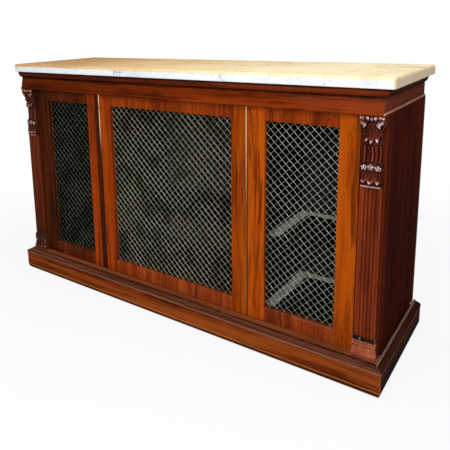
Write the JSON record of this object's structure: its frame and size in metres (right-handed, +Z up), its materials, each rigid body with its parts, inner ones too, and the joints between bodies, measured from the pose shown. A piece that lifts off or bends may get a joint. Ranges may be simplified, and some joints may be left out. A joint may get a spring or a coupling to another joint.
{
  "type": "chiffonier",
  "caption": "Low rosewood side cabinet with a marble top, wire-lattice doors, carved consoles over reeded pilasters and a plinth base.",
  "frame": {"origin": "middle of the footprint's box, on the floor", "axes": "+Z up, the doors face -Y, +X to the right as seen from the front"},
  "size_m": [1.58, 0.478, 0.93],
  "materials": {
    "marble": "polished",
    "rosewood_frames": "french polish",
    "rosewood_frieze": "french polish",
    "rosewood_plinth": "french polish, worn",
    "rosewood_sides": "french polish",
    "rosewood_carved": "glossy polish over dark stain",
    "mahogany_inner": "oiled",
    "pine_inner": "bare",
    "brass_wire": "aged",
    "brass_trim": "aged",
    "brass_fittings": "aged"
  },
  "bodies": {
    "carcass": {"back_boards": "pine_inner", "bottom_board": "mahogany_inner", "console_left": "rosewood_carved", "console_right": "rosewood_carved", "cornice_front": "rosewood_frieze", "cornice_returns": "rosewood_frieze", "frieze_front": "rosewood_frieze", "frieze_returns": "rosewood_frieze", "front_rail": "mahogany_inner", "marble_top": "marble", "partition_left": "mahogany_inner", "partition_right": "mahogany_inner", "pilaster_base_left": "rosewood_carved", "pilaster_base_right": "rosewood_carved", "pilaster_shaft_left": "rosewood_carved", "pilaster_shaft_right": "rosewood_carved", "pivot_pins": "brass_fittings", "plinth_back": "pine_inner", "plinth_blocks": "pine_inner", "plinth_front": "rosewood_plinth", "plinth_moulding_front": "rosewood_plinth", "plinth_moulding_returns": "rosewood_plinth", "plinth_returns": "rosewood_plinth", "post_left": "rosewood_frames", "post_right": "rosewood_frames", "shelf_bearers": "mahogany_inner", "shelf_centre": "mahogany_inner", "side_panel_left": "rosewood_sides", "side_panel_right": "rosewood_sides", "side_shelves": "mahogany_inner", "top_board": "pine_inner"},
    "left_door": {"left_door_bottom_rail": "rosewood_frames", "left_door_grille": "brass_wire", "left_door_grille_beads": "rosewood_frames", "left_door_hinge_stile": "rosewood_frames", "left_door_lock_stile": "rosewood_frames", "left_door_pivot_plates": "brass_fittings", "left_door_top_rail": "rosewood_frames"},
    "centre_door": {"brass_astragals": "brass_trim", "centre_door_bottom_rail": "rosewood_frames", "centre_door_grille": "brass_wire", "centre_door_grille_beads": "rosewood_frames", "centre_door_hinge_stile": "rosewood_frames", "centre_door_lock_stile": "rosewood_frames", "centre_door_pivot_plates": "brass_fittings", "centre_door_top_rail": "rosewood_frames", "keyhole_escutcheon": "brass_trim", "lock_case": "brass_fittings"},
    "right_door": {"right_door_bottom_rail": "rosewood_frames", "right_door_grille": "brass_wire", "right_door_grille_beads": "rosewood_frames", "right_door_hinge_stile": "rosewood_frames", "right_door_lock_stile": "rosewood_frames", "right_door_pivot_plates": "brass_fittings", "right_door_top_rail": "rosewood_frames"},
    "lock_bolt": {"lock_bolt": "brass_fittings"},
    "flush_bolt_left": {"flush_bolt_left": "brass_fittings"},
    "flush_bolt_right": {"flush_bolt_right": "brass_fittings"}
  },
  "joints": [
    {"name": "left_door_swing", "type": "hinge", "parent": "carcass", "child": "left_door", "pos_m": [-0.6745, -0.186, 0.46], "axis": [0, 0, -1], "range_deg": [0, 95]},
    {"name": "centre_door_swing", "type": "hinge", "parent": "carcass", "child": "centre_door", "pos_m": [-0.3155, -0.186, 0.46], "axis": [0, 0, -1], "range_deg": [0, 95]},
    {"name": "right_door_swing", "type": "hinge", "parent": "carcass", "child": "right_door", "pos_m": [0.6745, -0.186, 0.46], "axis": [0, 0, 1], "range_deg": [0, 95]},
    {"name": "lock_bolt_throw", "type": "slide", "parent": "centre_door", "child": "lock_bolt", "axis": [1, 0, 0], "range_m": [0, 0.009]},
    {"name": "flush_bolt_left_throw", "type": "slide", "parent": "left_door", "child": "flush_bolt_left", "axis": [0, 0, 1], "range_m": [0, 0.009]},
    {"name": "flush_bolt_right_throw", "type": "slide", "parent": "right_door", "child": "flush_bolt_right", "axis": [0, 0, 1], "range_m": [0, 0.009]}
  ]
}
